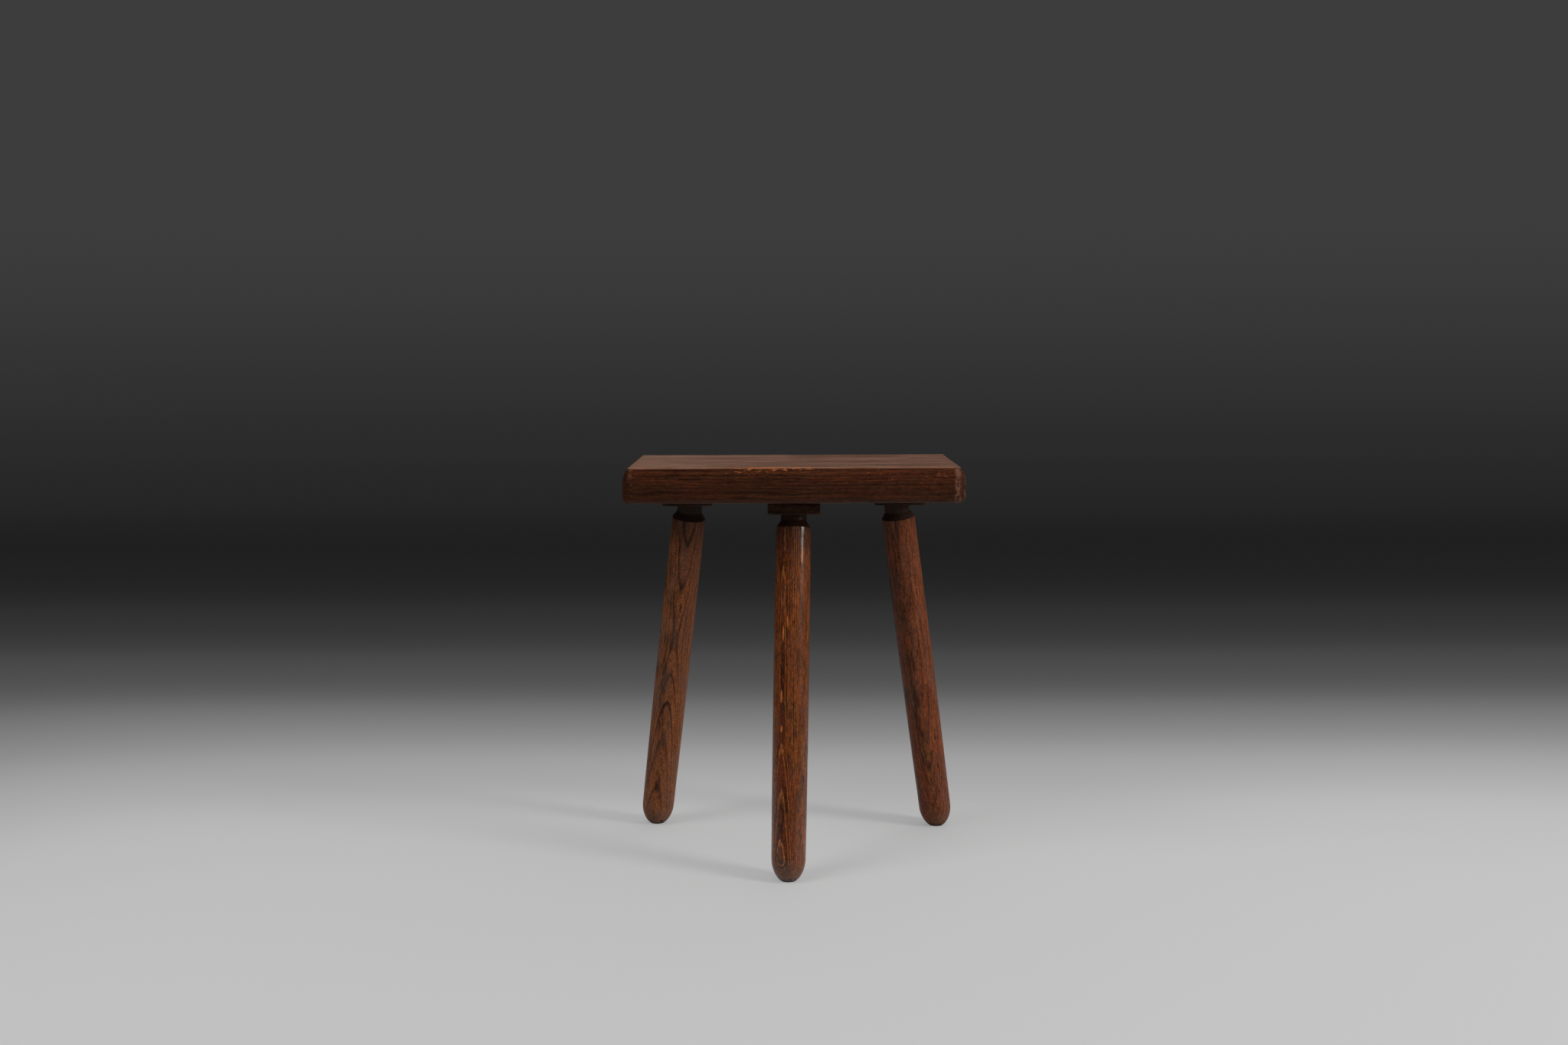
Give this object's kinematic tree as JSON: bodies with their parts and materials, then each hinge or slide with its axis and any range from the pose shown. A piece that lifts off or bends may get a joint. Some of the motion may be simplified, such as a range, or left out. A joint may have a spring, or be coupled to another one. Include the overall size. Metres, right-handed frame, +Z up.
{
  "type": "tripod stool",
  "caption": "Low wooden stool: a thick rectangular seat with bulged ends on turned, splayed legs with necks and rounded feet, let into square blocks under the seat.",
  "frame": {"origin": "on the floor, at the middle of the stool's bounding box", "axes": "+Z up out of the seat's top, +X along the seat towards the right leg, -Y towards the front leg"},
  "size_m": [0.3662, 0.2518, 0.44],
  "materials": {
    "seat_oak": "dark brown stained oak under a satin wax, paler and greyer where the top is rubbed",
    "block_oak": "black-brown stained oak, satin",
    "leg_oak": "orange-brown stained oak, turned, satin lacquer, with black-brown neck and shoulder",
    "wedge_wood": "bare hardwood, hidden in the joint",
    "screw_steel": "dull steel with slotted heads",
    "pad_rubber": "matt black-brown"
  },
  "bodies": {
    "root": {"seat": "seat_oak", "front_block": "block_oak", "left_block": "block_oak", "right_block": "block_oak", "front_leg": "leg_oak", "left_leg": "leg_oak", "right_leg": "leg_oak", "front_wedge": "wedge_wood", "left_wedge": "wedge_wood", "right_wedge": "wedge_wood", "block_screws": "screw_steel", "front_pad": "pad_rubber", "left_pad": "pad_rubber", "right_pad": "pad_rubber"}
  },
  "joints": []
}
